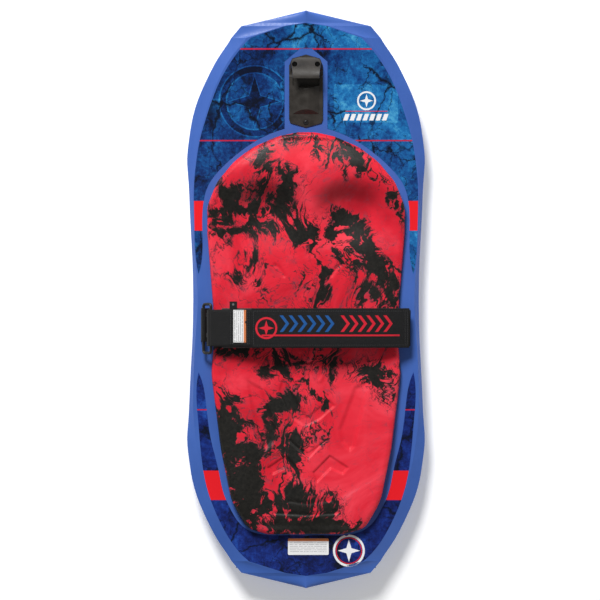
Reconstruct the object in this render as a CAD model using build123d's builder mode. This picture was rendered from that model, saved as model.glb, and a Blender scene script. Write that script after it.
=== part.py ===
"""Towed kneeboard with an EVA knee pad, a tow hook and a hook-and-loop thigh strap.

Frame: +X to the rider's right, +Y towards the nose, +Z up. The origin is on the plane of the flat
bottom, under the middle of the board. All sizes are in millimetres.
"""

from build123d import *
import math
import os

# ---------------------------------------------------------------- driving dimensions
BOARD_HALF_LENGTH = 686.0  # 54 in overall
BOTTOM_FLAT_HALF = 230.0  # the rocker starts here, fore and aft
NOSE_RISE = 62.0  # bottom of the nose tip above the flat
TAIL_RISE = 40.0
MID_THICKNESS = 60.0
TIP_THICKNESS = 36.0
MID_BOTTOM_BEVEL = 20.0  # height of the bevel under the rail
TIP_BOTTOM_BEVEL = 13.0
DECK_BEVEL = 11.0  # height of the bevel over the rail
BOTTOM_INSET = 34.0  # the bottom is this much narrower than the rail, each side
SKIN = 3.2  # wall of the moulded shells
FLAT_CUT = 0.4  # the lofted bottom is trimmed by this much to a true plane

# Distance from the middle, half width at the rail, half width of the raised deck.
STATIONS = [
    (0, 269, 258),
    (98, 271, 264),
    (190, 276, 268),
    (238, 278, 269),
    (286, 280.5, 267.5),
    (334, 283.5, 262.5),
    (381, 279, 255),
    (428, 271.5, 243),
    (476, 257.5, 228),
    (524, 236.5, 208),
    (572, 211, 181),
    (603, 190, 156),
    (622, 178, 141),
]
TIP_STATIONS = [(650, 154, 52), (657, 124, 6), (660, 111, 0.8), (686, 2.0, 0.6)]

PAD_RECESS = 8.0
PAD_GAP = 0.3  # glue line round the pad
PAD_FRONT = 398.0
PAD_BACK = -557.0
PAD_HALF_OUTLINE = [
    (22, PAD_FRONT),
    (70, 387.5),
    (127, 362),
    (171, 328),
    (212, 279),
    (235, 222),
    (235, 160),
    (221, -16),
    (219, -100),
    (225.5, -176),
    (203, -354),
    (177, -480),
    (140, -543),
    (92, PAD_BACK),
]
PAD_BENDS = [60, 90, 110, 110, 70, 60, 150, 300, 300, 150, 300, 150, 40, 30]
# Side view of the pad's top: distance from the middle, height.
PAD_CREST = [
    (PAD_BACK, 86),
    (-520, 92),
    (-420, 91),
    (-250, 82),
    (-60, 79),
    (120, 80),
    (215, 88),
    (285, 101),
    (345, 98),
    (PAD_FRONT, 84),
]
KNEE_X = 94.0  # middle of each knee well
KNEE_Y = 196.0
KNEE_FLOOR = 67.0
KNEE_RADIUS = 100.0
SHIN_RADIUS = 150.0
PAD_EDGE_ROUND = 10.0

STRAP_Y = -67.0  # middle of the thigh strap, fore and aft
STRAP_WIDTH = 94.0
WEBBING_WIDTH = 86.0
TAPE_WIDTH = 78.0
WEBBING = 2.5
TAPE = 1.5
PADDING = 5.5
FLAP_PADDING = 3.5
COVER = 1.2
LAYER_GAP = 0.3  # between the closed hook and loop tapes

# Side view of the closed strap, from the left shoulder to beyond the right side.
STRAP_LINE = [(-168, 112), (0, 121), (168, 112), (290, 59)]
STRAP_BENDS = [150, 1500, 300]
FLAP_END = 246.0
COVER_START = -129.0

RING_WIRE = 3.5
RING_LENGTH = 123.0
RING_Y = -68.5
RING_BAR = (-225.5, 92.0)  # the long bar inside the strap's bend
RING_HINGE = (-243.5, 78.5)  # the long bar that the anchor holds
LOOP_BEND = 7.5  # inner radius of the webbing round the ring

ANCHOR_Y = -60.0
ANCHOR_WIDTH = 80.0
ANCHOR_WEBBING = 2.0
ANCHOR_X = -235.0  # line of the left screws
RIGHT_X = 239.0  # line of the right screws
PLATE = 3.0
PLATE_WIDTH = 15.0
PLATE_LENGTH = 76.0
SCREW_PITCH = 48.0

HOOK_Y = 496.5  # middle of the tow hook
HOOK_WIDTH = 80.0
HOOK_POCKET = 4.0
HOOK_PROUD = 4.0
HANDLE_RADIUS = 14.0  # tow handles are about 27 mm thick
HOOK_LIP = 31.5  # where the hook's roof ends, from its middle
HOOK_STEP = 12.0  # where its raised floor begins; a handle slips in between the two

PRINT = 0.4
FIN_X = 163.0

os.makedirs("parts", exist_ok=True)


def save(part, name):
    """Label a finished piece and write it to its own file."""
    part.label = name
    export_step(part, f"parts/{name}.step")


# ---------------------------------------------------------------- board sections
def bottom_height(y):
    """Rocker: flat in the middle, then a circular arc up to each tip."""
    run = abs(y) - BOTTOM_FLAT_HALF
    if run <= 0:
        return -FLAT_CUT
    rise = NOSE_RISE if y > 0 else TAIL_RISE
    full = BOARD_HALF_LENGTH - BOTTOM_FLAT_HALF
    radius = (full**2 + rise**2) / (2 * rise)
    return radius - math.sqrt(radius**2 - run**2) - FLAT_CUT


def tip_share(y):
    """0 over the middle of the board, rising smoothly to 1 at the tips."""
    share = max(0.0, abs(y) - BOTTOM_FLAT_HALF) / (BOARD_HALF_LENGTH - BOTTOM_FLAT_HALF)
    return share**1.5


def deck_height(y):
    return bottom_height(y) + MID_THICKNESS + (TIP_THICKNESS - MID_THICKNESS) * tip_share(y)


def rail_heights(y):
    """Heights of the lower and the upper edge of the side wall."""
    bevel = MID_BOTTOM_BEVEL + (TIP_BOTTOM_BEVEL - MID_BOTTOM_BEVEL) * tip_share(y)
    return bottom_height(y) + bevel, deck_height(y) - DECK_BEVEL


def section_sketch(y, rail, deck, skin):
    """One cross section, moved inwards by skin for the inside of the shells."""
    low, high = rail_heights(y)
    bottom = max(rail - BOTTOM_INSET, 0.4 * rail)
    half = [
        (max(bottom - skin / 2, 0.5), bottom_height(y) + skin),
        (rail - skin, low + skin / 2),
        (rail - skin, high - skin / 2),
        (max(deck - skin / 2, 0.5), deck_height(y) - skin),
    ]
    plane = Plane(origin=(0, y, 0), x_dir=(1, 0, 0), z_dir=(0, -1, 0))
    with BuildSketch(plane) as sketch:
        with BuildLine():
            Polyline(*half, *[(-x, z) for x, z in reversed(half)], close=True)
        make_face()
    return sketch.sketch


def board_body(skin=0.0):
    """Whole board as one solid: a smooth middle and two faceted tips."""
    middle = [(-y, rail, deck) for y, rail, deck in reversed(STATIONS[1:])] + STATIONS
    tips = [STATIONS[-1], *TIP_STATIONS]
    if skin:
        tips = [STATIONS[-1], (650 - skin, 154, 52), (657 - skin, 124, 6), (678, 26, 1)]
    with BuildPart() as board:
        loft(sections=[section_sketch(y, rail, deck, skin) for y, rail, deck in middle])
        for end in (1, -1):
            sections = [section_sketch(end * y, rail, deck, skin) for y, rail, deck in tips]
            loft(sections=sections, ruled=True)
    return board.part


def under_parting():
    """Everything below the line where the hull and the deck meet, half way up the side wall."""
    ends = [-720, *[-y for y, _, _ in reversed(STATIONS[1:])], *[y for y, _, _ in STATIONS], 720]
    points = [(y, sum(rail_heights(y)) / 2) for y in ends[1:-1]]
    points = [(-720, 52), *points, (720, 74)]
    with BuildPart() as block:
        with BuildSketch(Plane.YZ):
            with BuildLine():
                Spline(*points)
                Polyline(points[-1], (720, -40), (-720, -40), points[0])
            make_face()
        extrude(amount=320, both=True)
    return block.part


# ---------------------------------------------------------------- outlines in plan
def pad_outline(grow=0.0):
    """Plan of the knee pad, grown outwards by grow."""
    left = [(-x, y) for x, y in reversed(PAD_HALF_OUTLINE)]
    with BuildSketch() as sketch:
        with BuildLine():
            bends = PAD_BENDS + PAD_BENDS[::-1]
            FilletPolyline(*PAD_HALF_OUTLINE, *left, radius=bends, close=True)
        make_face()
        if grow:
            offset(amount=grow)
    return sketch.sketch


def pad_block():
    """Moulded knee pad: front bolster, two knee wells and the shin channels behind them."""
    with BuildPart() as block:
        with BuildSketch(Plane.YZ.offset(-300)):
            with BuildLine():
                Spline(*PAD_CREST)
                Polyline(PAD_CREST[-1], (PAD_FRONT, 20), (PAD_BACK, 20), PAD_CREST[0])
            make_face()
        extrude(amount=600)
        add(prism(pad_outline()), mode=Mode.INTERSECT)
        fillet(block.faces().sort_by(Axis.Z)[-1].outer_wire().edges(), radius=PAD_EDGE_ROUND)
        for x in (-KNEE_X, KNEE_X):
            with Locations((x, KNEE_Y, KNEE_FLOOR + KNEE_RADIUS)):
                Sphere(KNEE_RADIUS, mode=Mode.SUBTRACT)
            start = Vector(x, KNEE_Y - 40, KNEE_FLOOR + 8 + SHIN_RADIUS)
            back = Vector(x * 0.82, PAD_BACK + 45, 83 + SHIN_RADIUS)
            way = back - start
            with BuildSketch(Plane(origin=start, z_dir=way)):
                Circle(SHIN_RADIUS)
            extrude(amount=way.length, mode=Mode.SUBTRACT)
            with Locations(back):
                Sphere(SHIN_RADIUS, mode=Mode.SUBTRACT)
    return block.part


def front_print_outline():
    """Printed film round the front of the pad and the tow hook."""
    outer = [(131, 622), (150, 603), (176, 569), (204, 522), (224, 474), (240, 426), (253, 379)]
    outer += [(261, 331), (266, 283), (267, 236), (265.5, 164), (262, 98), (256, 61)]
    inner = [(256, 61), (249, 90), (247, 163), (243, 240), (233, 272), (207, 308), (161, 350)]
    inner += [(115, 381), (51, 407)]
    with BuildSketch() as sketch:
        with BuildLine():
            Polyline((0, 656.5), (49, 649.5), outer[0])
            Spline(*outer)
            Spline(*inner)
            Polyline((51, 407), (51, 566), (14, 597), (0, 597), (0, 656.5))
        make_face()
        mirror(about=Plane.YZ)
    return sketch.sketch


def rear_print_outline():
    """Printed film round the back of the pad."""
    outer = [(256, -173), (261, -215), (257, -288), (253, -336), (248, -383), (240, -431)]
    outer += [(226, -479), (206, -526), (179, -574), (136, -622)]
    inner = [(0, -562), (92, -560), (136, -549), (160, -530), (179, -500), (195, -465)]
    inner += [(210, -399), (226, -336), (239, -240), (246, -200), (256, -173)]
    with BuildSketch() as sketch:
        with BuildLine():
            Spline(*outer)
            Polyline(outer[-1], (49, -649.5), (0, -656.5), (0, -562))
            Spline(*inner)
        make_face()
        mirror(about=Plane.YZ)
    return sketch.sketch


def hook_outline(grow=0.0):
    """Plan of the tow hook about its own middle: pointed at both ends."""
    half = HOOK_WIDTH / 2 + grow
    with BuildSketch() as sketch:
        with BuildLine():
            FilletPolyline(
                (0, 86.5 + grow),
                (half - 7, 77 + grow),
                (half, 60),
                (half, -68),
                (half - 3, -76 - grow),
                (0, -86.5 - grow),
                (-half + 3, -76 - grow),
                (-half, -68),
                (-half, 60),
                (-half + 7, 77 + grow),
                radius=3.5,
                close=True,
            )
        make_face()
    return sketch.sketch


def prism(sketch, low=-50.0, high=250.0):
    """Upright block with this plan."""
    with BuildPart() as block:
        with BuildSketch(Plane.XY.offset(low)):
            add(sketch)
        extrude(amount=high - low)
    return block.part


def shift(part, z):
    return part.moved(Location((0, 0, z)))


# ---------------------------------------------------------------- fasteners
SCREW_RADIUS = 2.95
INSERT_BORE = 3.0
INSERT_RADIUS = 4.6
INSERT_LENGTH = 13.0
BOSS_RADIUS = 9.0
BOSS_LENGTH = 16.0
HEAD_RADIUS = 5.2
HEAD_HEIGHT = 3.0


def cylinders(plane, places, radius, low, high):
    """Round bars square to the plane, from low to high above it."""
    with BuildPart() as bars:
        with BuildSketch(plane.offset(low)):
            with Locations(*places):
                Circle(radius)
        extrude(amount=high - low)
    return bars.part


def screws(plane, places, seat, depth):
    """Pan-head screws with a cross recess; seat is the height of the underside of the heads."""
    with BuildPart() as made:
        add(cylinders(plane, places, SCREW_RADIUS, seat - depth, seat))
        with BuildSketch(plane.offset(seat)):
            with Locations(*places):
                Circle(HEAD_RADIUS)
        extrude(amount=HEAD_HEIGHT)
        crowns = made.faces().filter_by(GeomType.PLANE).group_by(SortBy.AREA)[-1]
        fillet(crowns.edges().filter_by(GeomType.CIRCLE), radius=0.9)
        with BuildSketch(plane.offset(seat + HEAD_HEIGHT)):
            with Locations(*places):
                Rectangle(6.0, 1.2)
                Rectangle(1.2, 6.0)
        extrude(amount=-1.6, mode=Mode.SUBTRACT)
    return made.part


def inserts(plane, places, top):
    """Threaded brass inserts moulded into bosses of the deck, drawn with plain walls."""
    with BuildPart() as made:
        add(cylinders(plane, places, INSERT_RADIUS, top - INSERT_LENGTH, top))
        add(cylinders(plane, places, INSERT_BORE, top - INSERT_LENGTH, top), mode=Mode.SUBTRACT)
    return made.part


# ---------------------------------------------------------------- strap layers
def offset_line(points, distance):
    """The same open polyline moved sideways, to the left of its own direction."""
    directions = [(Vector(*b) - Vector(*a)).normalized() for a, b in zip(points, points[1:])]
    moved = []
    for index, point in enumerate(points):
        before = directions[max(index - 1, 0)]
        after = directions[min(index, len(directions) - 1)]
        middle = (before + after).normalized()
        reach = distance / middle.dot(after)
        moved.append((point[0] - middle.Y * reach, point[1] + middle.X * reach))
    return moved


def layer(points, bends, low, high, y_middle, width):
    """Strip of constant thickness between two offsets of a polyline, running along Y."""
    turns = []
    for a, b, c in zip(points, points[1:], points[2:]):
        turns.append((b[0] - a[0]) * (c[1] - b[1]) - (b[1] - a[1]) * (c[0] - b[0]))
    sides = []
    for distance in (low, high):
        radii = [r - math.copysign(distance, turn) for r, turn in zip(bends, turns)]
        sides.append((offset_line(points, distance), radii))
    plane = Plane(origin=(0, y_middle, 0), x_dir=(1, 0, 0), z_dir=(0, -1, 0))
    with BuildPart() as strip:
        with BuildSketch(plane):
            with BuildLine():
                lower = FilletPolyline(*sides[0][0], radius=sides[0][1])
                upper = FilletPolyline(*sides[1][0], radius=sides[1][1])
                Line(lower @ 0, upper @ 0)
                Line(lower @ 1, upper @ 1)
            make_face()
        extrude(amount=width / 2, both=True)
    return strip.part


def between(part, x_low, x_high):
    """Cut a strip off square at both ends."""
    middle = (x_low + x_high) / 2
    return part & Pos(middle, 0, 100) * Box(x_high - x_low, 400, 400)


def tangent_point(circle, radius, point, side):
    """Where a line from the point touches the circle: above it (side 1) or below it (side -1)."""
    across, up = point[0] - circle[0], point[1] - circle[1]
    angle = math.atan2(up, across) + side * math.acos(radius / math.hypot(across, up))
    return circle[0] + radius * math.cos(angle), circle[1] + radius * math.sin(angle)


# ---------------------------------------------------------------- shells, foam, pad and print
outer = board_body()
under = Pos(0, 0, -100) * Box(700, 1500, 200)  # everything below the flat of the bottom
floor_tool = prism(pad_outline(PAD_GAP)) - shift(outer, -PAD_RECESS)
cavity = board_body(SKIN) - (prism(pad_outline(PAD_GAP + SKIN)) - shift(outer, -PAD_RECESS - SKIN))

deck_z = deck_height(STRAP_Y)
deck_plane = Plane.XY.offset(deck_z)
left_places = [(ANCHOR_X, ANCHOR_Y + side * SCREW_PITCH / 2) for side in (-1, 1)]
right_places = [(RIGHT_X, STRAP_Y + side * SCREW_PITCH / 2) for side in (-1, 1)]
strap_places = left_places + right_places

slope = math.atan((deck_height(HOOK_Y + 1) - deck_height(HOOK_Y - 1)) / 2)
hook_plane = Plane(
    origin=(0, HOOK_Y, deck_height(HOOK_Y)),
    x_dir=(1, 0, 0),
    z_dir=(0, -math.sin(slope), math.cos(slope)),
)
HOOK_PLACES = [(-27, 64.5), (27, 64.5), (0, -75)]
insert_top = -HOOK_POCKET

with BuildPart() as hook_pocket:
    with BuildSketch(hook_plane.offset(-HOOK_POCKET)):
        add(hook_outline(0.3))
    extrude(amount=40)
hook_pocket = hook_pocket.part

with BuildPart() as fins:
    for x in (-FIN_X, FIN_X):
        plane = Plane(origin=(x, 0, 0), x_dir=(0, 1, 0), z_dir=(1, 0, 0))
        with BuildSketch(plane):
            with BuildLine():
                Polyline((-640, 42), (-640, 18), (-628, 6), (-560, 2.4), (-470, 30), close=True)
            make_face()
        extrude(amount=4, both=True)
fins = fins.part - cavity

solid_top = outer - under - floor_tool - hook_pocket
shell = solid_top - cavity

hook_bosses = cylinders(hook_plane, HOOK_PLACES, BOSS_RADIUS, insert_top - BOSS_LENGTH, insert_top)
strap_bosses = cylinders(deck_plane, strap_places, BOSS_RADIUS, -BOSS_LENGTH, -1.0)
with BuildPart() as web:
    with BuildSketch(hook_plane.offset(-HOOK_POCKET - SKIN)):
        add(hook_outline(0.3 + SKIN))
    extrude(amount=40)
hook_web = (web.part & cavity) - hook_pocket
bosses = (hook_bosses + strap_bosses) & cavity

parting = under_parting()
hull_shell = (shell & parting) + (fins - outer)
deck_shell = (shell - parting) + bosses + hook_web
holes = cylinders(hook_plane, HOOK_PLACES, INSERT_RADIUS, insert_top - INSERT_LENGTH, insert_top)
holes += cylinders(deck_plane, strap_places, INSERT_RADIUS, -INSERT_LENGTH, 2)
deck_shell -= holes
foam_core = cavity - bosses - hook_web - hook_pocket
save(hull_shell, "hull_shell")
save(deck_shell, "deck_shell")
save(foam_core, "foam_core")

pad = pad_block() - shift(outer, -PAD_RECESS)
save(pad, "knee_pad")

film = shift(outer, PRINT) - outer
save(film & prism(front_print_outline()), "front_graphic")
rear_film = film & prism(rear_print_outline())
with BuildPart() as label:
    with BuildSketch(Plane.XY.offset(40)):
        with Locations((5.5, -587.5)):
            RectangleRounded(97, 39, 3)
    extrude(amount=60)
care_label = (shift(outer, PRINT + 0.3) - shift(outer, PRINT)) & label.part
save(rear_film, "rear_graphic")
save(care_label, "care_label")

# ---------------------------------------------------------------- tow hook
with BuildPart() as hook:
    with BuildSketch(hook_plane.offset(-HOOK_POCKET)):
        add(hook_outline())
    extrude(amount=HOOK_POCKET + HOOK_PROUD)
hook_side = Plane(origin=hook_plane.origin, x_dir=hook_plane.y_dir, z_dir=hook_plane.x_dir)
with BuildPart() as roof:
    with BuildSketch(hook_side):
        with BuildLine():
            Spline((84, 2), (68, 14), (56, 27), (44, 35), (HOOK_LIP, 37.5))
            Polyline((HOOK_LIP, 37.5), (HOOK_LIP, 2), (84, 2))
        make_face()
    extrude(amount=45, both=True)
with BuildPart() as roof_sides:
    with BuildSketch(hook_plane.offset(2)):
        with Locations((0, 50)):
            Rectangle(76, 80)
    with BuildSketch(hook_plane.offset(40)):
        with Locations((0, 40)):
            Rectangle(62, 70)
    loft()
with BuildPart() as throat:
    with BuildSketch(hook_side):
        with Locations((40, 18)):
            Circle(HANDLE_RADIUS + 1)
        with BuildLine():
            Polyline((40, 33), (HOOK_STEP, 33), (HOOK_STEP, 4), (34, 4), (40, 3), close=True)
        make_face()
    extrude(amount=60, both=True)
with BuildPart() as recess:
    with BuildSketch(hook_plane.offset(HOOK_PROUD - 5)):
        with Locations((0, (HOOK_STEP + 50) / 2)):
            RectangleRounded(64, 50 - HOOK_STEP, 5)
    extrude(amount=8)
with BuildPart() as hump:
    with BuildSketch(hook_side):
        with BuildLine():
            Polyline((HOOK_STEP, 3), (HOOK_STEP, 8.5), (7, 12.5), (-2, 14), (-41.5, 14), (-56, 3), close=True)
        make_face()
    extrude(amount=45, both=True)
crown_plane = Plane(origin=hook_plane.origin, x_dir=(1, 0, 0), z_dir=-hook_plane.y_dir)
with BuildPart() as crown:
    with BuildSketch(crown_plane):
        with BuildLine():
            arc = ThreePointArc((-31.5, 4), (0, 13), (31.5, 4))
            Polyline((31.5, 4), (31.5, 2), (-31.5, 2), (-31.5, 4))
        make_face()
    extrude(amount=80, both=True)
with BuildPart() as hook_column:
    with BuildSketch(hook_plane):
        add(hook_outline(-1))
    extrude(amount=60)
roof = roof.part & roof_sides.part & hook_column.part
tow_hook = hook.part + roof + (hump.part & crown.part) - throat.part - recess.part
tow_hook -= cylinders(hook_plane, HOOK_PLACES, 3.3, -20, 10)
tow_hook -= cylinders(hook_plane, HOOK_PLACES[:2], 6.1, -1.0, 60)
tow_hook -= cylinders(hook_plane, HOOK_PLACES[2:], 6.1, 1.0, 20)
save(tow_hook, "tow_hook_body")
save(
    screws(hook_plane, HOOK_PLACES[:2], -1.0, 14) + screws(hook_plane, HOOK_PLACES[2:], 1.0, 16),
    "tow_hook_screws",
)
save(inserts(hook_plane, HOOK_PLACES, insert_top), "tow_hook_inserts")

# ---------------------------------------------------------------- strap anchors and ring
with BuildPart() as plates:
    for x, y in ((ANCHOR_X, ANCHOR_Y), (RIGHT_X, STRAP_Y)):
        thick = 2 * ANCHOR_WEBBING if x < 0 else WEBBING
        with BuildSketch(deck_plane.offset(thick)):
            with Locations((x, y)):
                RectangleRounded(PLATE_WIDTH, PLATE_LENGTH, 3)
        extrude(amount=PLATE)
plates = plates.part - cylinders(deck_plane, strap_places, 3.3, -10, 20)
left_plate, right_plate = plates.solids().sort_by(Axis.X)
save(left_plate, "left_anchor_plate")
save(right_plate, "right_anchor_plate")
save(screws(deck_plane, left_places, 2 * ANCHOR_WEBBING + PLATE, 19), "left_anchor_screws")
save(screws(deck_plane, right_places, WEBBING + PLATE, 17), "right_anchor_screws")
save(inserts(deck_plane, strap_places, 0), "strap_inserts")

tilt = math.atan2(RING_BAR[1] - RING_HINGE[1], RING_BAR[0] - RING_HINGE[0])
ring_pitch = math.dist(RING_BAR, RING_HINGE)
ring_middle = ((RING_BAR[0] + RING_HINGE[0]) / 2, RING_Y, (RING_BAR[1] + RING_HINGE[1]) / 2)
ring_plane = Plane(
    origin=ring_middle,
    x_dir=(math.cos(tilt), 0, math.sin(tilt)),
    z_dir=(-math.sin(tilt), 0, math.cos(tilt)),
)
with BuildSketch(ring_plane) as ring_loop:
    RectangleRounded(ring_pitch, RING_LENGTH - 2 * RING_WIRE, 6)
ring_path = ring_loop.sketch.faces()[0].outer_wire()
with BuildPart() as ring:
    with BuildSketch(Plane(origin=ring_path @ 0, z_dir=ring_path % 0)):
        Circle(RING_WIRE)
    sweep(path=ring_path)
save(ring.part, "strap_ring")

# Two layers of webbing, sewn together below a loop that holds the ring.
foot_z = deck_z + ANCHOR_WEBBING
anchor_line = [(RING_HINGE[0] - 3, RING_HINGE[1] - 2.5), (-248.5, foot_z), (-227, foot_z)]
loop_plane = Plane(origin=(0, ANCHOR_Y, 0), x_dir=(1, 0, 0), z_dir=(0, -1, 0))
with BuildPart() as anchor:
    add(layer(anchor_line, [5], -ANCHOR_WEBBING, ANCHOR_WEBBING, ANCHOR_Y, ANCHOR_WIDTH))
    with BuildSketch(loop_plane):
        with Locations(RING_HINGE):
            Circle(RING_WIRE + 0.5 + ANCHOR_WEBBING)
    extrude(amount=ANCHOR_WIDTH / 2, both=True)
    with BuildSketch(loop_plane):
        with Locations(RING_HINGE):
            Circle(RING_WIRE + 0.5)
    extrude(amount=ANCHOR_WIDTH, both=True, mode=Mode.SUBTRACT)
anchor_webbing = anchor.part - cylinders(deck_plane, left_places, 3.3, -10, 20)
save(anchor_webbing, "anchor_webbing")

# ---------------------------------------------------------------- thigh strap
half_webbing = WEBBING / 2
bend = LOOP_BEND + half_webbing
base_line = offset_line(STRAP_LINE, -TAPE - half_webbing)
flap_line = offset_line(STRAP_LINE, LAYER_GAP + TAPE + half_webbing)

lower_touch = tangent_point(RING_BAR, bend, base_line[0], -1)
upper_touch = tangent_point(RING_BAR, bend, flap_line[0], 1)
reach = Vector(*flap_line[0]) - Vector(*upper_touch)
hinge = Vector(*upper_touch) + reach.normalized() * 12
normal = Vector(-reach.Y, reach.X).normalized() * half_webbing

fall = (base_line[2][1] - base_line[3][1]) / (base_line[3][0] - base_line[2][0])
drop = (224, base_line[2][1] - fall * (224 - base_line[2][0]))
base_path = [lower_touch, *base_line[:3], drop, (227, deck_z + half_webbing)]
base_path.append((248.5, deck_z + half_webbing))
base_bends = [80, *STRAP_BENDS[1:], 10, 5]
flap_path = [(hinge.X, hinge.Y), *flap_line]


def base_layer(low, high, width):
    return layer(base_path[:5], base_bends[:3], low, high, STRAP_Y, width)


def flap_layer(low, high, width, y_middle=STRAP_Y):
    return layer(flap_path, STRAP_BENDS, low, high, y_middle, width)


plane = Plane(origin=(0, STRAP_Y, 0), x_dir=(1, 0, 0), z_dir=(0, -1, 0))
centre = Vector(*RING_BAR)
up = (Vector(*upper_touch) - centre).normalized() * 30
down = (Vector(*lower_touch) - centre).normalized() * 30
with BuildPart() as base_webbing:
    with BuildSketch(plane):
        with Locations(RING_BAR):
            Circle(bend + half_webbing)
            Circle(bend - half_webbing, mode=Mode.SUBTRACT)
        with BuildLine():
            far = centre + Vector(60, 0)
            above, below = far + Vector(0, 40), far - Vector(0, 40)
            Polyline(centre, centre + up, above, below, centre + down, close=True)
        make_face(mode=Mode.SUBTRACT)
        with BuildLine():
            start = Vector(*upper_touch)
            Polyline(start + normal, hinge + normal, hinge - normal, start - normal, close=True)
        make_face()
    extrude(amount=WEBBING_WIDTH / 2, both=True)
    add(layer(base_path, base_bends, -half_webbing, half_webbing, STRAP_Y, WEBBING_WIDTH))
base_webbing = base_webbing.part - cylinders(deck_plane, right_places, 3.3, -10, 20)
save(base_webbing, "base_strap_webbing")

under_padding = between(base_layer(-half_webbing - PADDING, -half_webbing, STRAP_WIDTH), -200, 200)
save(under_padding, "base_strap_padding")
save(between(base_layer(half_webbing, half_webbing + TAPE, TAPE_WIDTH), -195, 205), "loop_tape")

wall = 1.5
flap_webbing = between(flap_layer(-half_webbing, half_webbing, WEBBING_WIDTH), -400, FLAP_END - wall)
flap_top = half_webbing + FLAP_PADDING
cover = between(flap_layer(-half_webbing, flap_top + COVER, STRAP_WIDTH), COVER_START, FLAP_END)
inside = flap_layer(-half_webbing, flap_top, STRAP_WIDTH - 2 * wall)
cover -= between(inside, -400, FLAP_END - wall)
padding = flap_layer(half_webbing, flap_top, STRAP_WIDTH - 2 * wall)
tab = between(flap_layer(-half_webbing - TAPE, -half_webbing, 32, -20), -181, -163)
rivet_plane = Plane(origin=(-172, -11, tab.bounding_box().center().Z), z_dir=(-reach.Y, 0, reach.X))
with BuildPart() as rivet:
    add(cylinders(rivet_plane, [(0, 0)], 1.5, -1.4, 1.4))
    add(cylinders(rivet_plane, [(0, 0)], 2.8, 0.85, 1.6))
    add(cylinders(rivet_plane, [(0, 0)], 2.8, -1.6, -0.85))
tab -= rivet.part
save(flap_webbing, "flap_webbing")
save(cover, "flap_cover")
save(between(padding, COVER_START, FLAP_END - wall), "flap_padding")
save(between(flap_layer(-half_webbing - TAPE, -half_webbing, TAPE_WIDTH), -160, 235), "hook_tape")
save(between(flap_layer(half_webbing, half_webbing + 0.7, 77, -62.5), -172, -142), "flap_label")
save(tab, "pull_tab")
save(rivet.part, "pull_tab_rivet")
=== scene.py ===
import math

import bmesh
import bpy
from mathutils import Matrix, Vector, noise
from mathutils.bvhtree import BVHTree


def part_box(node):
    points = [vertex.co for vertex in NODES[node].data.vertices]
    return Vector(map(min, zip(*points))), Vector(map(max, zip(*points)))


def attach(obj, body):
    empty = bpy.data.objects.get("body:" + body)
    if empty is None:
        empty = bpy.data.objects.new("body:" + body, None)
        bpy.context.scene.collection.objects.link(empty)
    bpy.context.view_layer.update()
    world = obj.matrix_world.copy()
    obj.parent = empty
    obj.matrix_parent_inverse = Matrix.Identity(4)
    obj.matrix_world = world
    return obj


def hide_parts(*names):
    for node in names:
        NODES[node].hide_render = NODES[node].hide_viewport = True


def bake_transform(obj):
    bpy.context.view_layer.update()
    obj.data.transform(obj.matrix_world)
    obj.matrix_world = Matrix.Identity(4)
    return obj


# Looks of a towed kneeboard: marbled pad, printed deck, tow hook and padded thigh strap.
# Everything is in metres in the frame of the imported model: +X rider's right, +Y nose, +Z up.

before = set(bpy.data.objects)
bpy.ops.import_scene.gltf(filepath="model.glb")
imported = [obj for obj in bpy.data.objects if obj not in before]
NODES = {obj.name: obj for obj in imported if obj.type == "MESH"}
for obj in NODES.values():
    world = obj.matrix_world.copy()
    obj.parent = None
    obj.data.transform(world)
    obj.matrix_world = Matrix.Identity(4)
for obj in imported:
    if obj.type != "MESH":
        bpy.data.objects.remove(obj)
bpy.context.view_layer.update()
MM = 0.001

# The middle line of the strap, from the box of the flap's webbing.
STRAP_Y = sum(corner.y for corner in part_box("flap_webbing")) / 2


# ---------------------------------------------------------------- geometry helpers
def mesh_tree(*objects):
    """Ray-cast tree of one or more mesh objects at rest."""
    verts, faces = [], []
    for obj in objects:
        faces += [[len(verts) + i for i in p.vertices] for p in obj.data.polygons]
        verts += [v.co.copy() for v in obj.data.vertices]
    return BVHTree.FromPolygons(verts, faces)


def tree_of(*names):
    """Ray-cast tree of one or more CAD nodes at rest."""
    return mesh_tree(*(NODES[name] for name in names))


def top_of(tree, x, y):
    """Height of the highest surface over this place, or None."""
    hit = tree.ray_cast(Vector((x, y, 1)), Vector((0, 0, -1)))[0]
    return hit.z if hit else None


def ease(value):
    """Smooth step of a value from 0 to 1."""
    value = min(1.0, max(0.0, value))
    return value * value * (3 - 2 * value)


def new_object(name, verts, faces, material, body=None, uvs=None):
    """Smooth mesh object from plain lists, with UVs per vertex if given, riding on a body."""
    mesh = bpy.data.meshes.new(name)
    mesh.from_pydata([tuple(v) for v in verts], [], faces)
    mesh.validate()
    if uvs:
        layer = mesh.uv_layers.new(name="UVMap")
        for loop in mesh.loops:
            layer.data[loop.index].uv = uvs[loop.vertex_index]
    mesh.polygons.foreach_set("use_smooth", [True] * len(mesh.polygons))
    obj = bpy.data.objects.new(name, mesh)
    bpy.context.scene.collection.objects.link(obj)
    mesh.materials.append(material)
    if body:
        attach(obj, body)
    return obj


def point_attribute(obj, name, values):
    """One number per vertex, for the material to read."""
    obj.data.attributes.new(name, "FLOAT", "POINT").data.foreach_set("value", values)


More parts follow.
